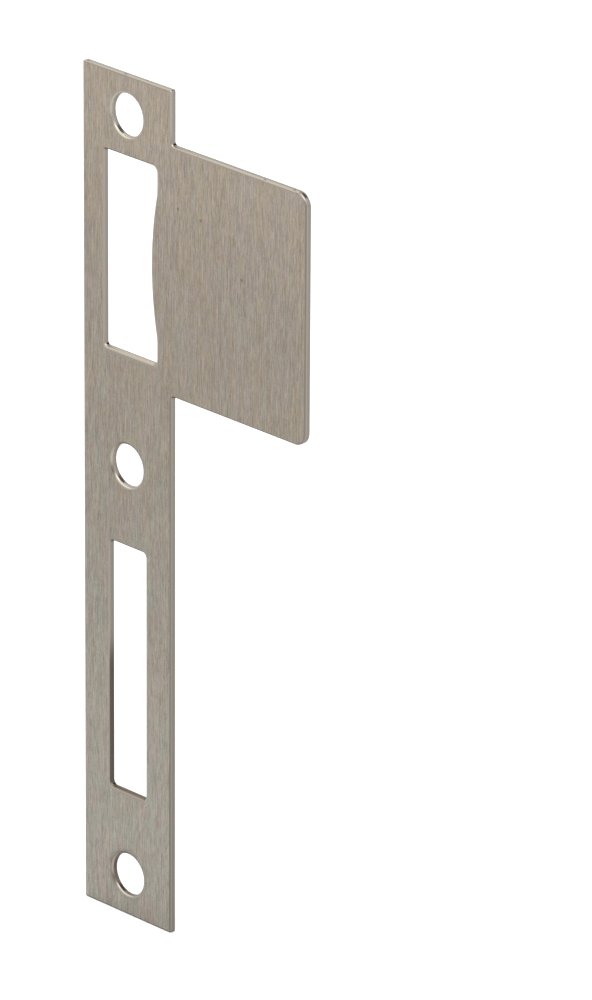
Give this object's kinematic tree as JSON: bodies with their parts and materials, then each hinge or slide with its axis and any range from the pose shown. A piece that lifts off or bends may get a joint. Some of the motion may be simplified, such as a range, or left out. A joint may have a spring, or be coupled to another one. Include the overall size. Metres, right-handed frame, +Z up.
{
  "type": "door strike plate",
  "caption": "Flat punched strike plate for a mortice lock: tall strip with latch and bolt openings, screw holes and a square lip flap at one side.",
  "frame": {"origin": "on the back face, on the strip's centre line, halfway up the strip", "axes": "+Z up the strip, +X towards the flap, +Y out of the back face into the door frame; the front face looks along -Y"},
  "size_m": [0.06, 0.0012, 0.17],
  "materials": {
    "plate": "stainless sheet, grain brushed along the strip, punched edges bright at the front rim"
  },
  "bodies": {
    "root": {"strike_plate": "plate"}
  },
  "joints": []
}
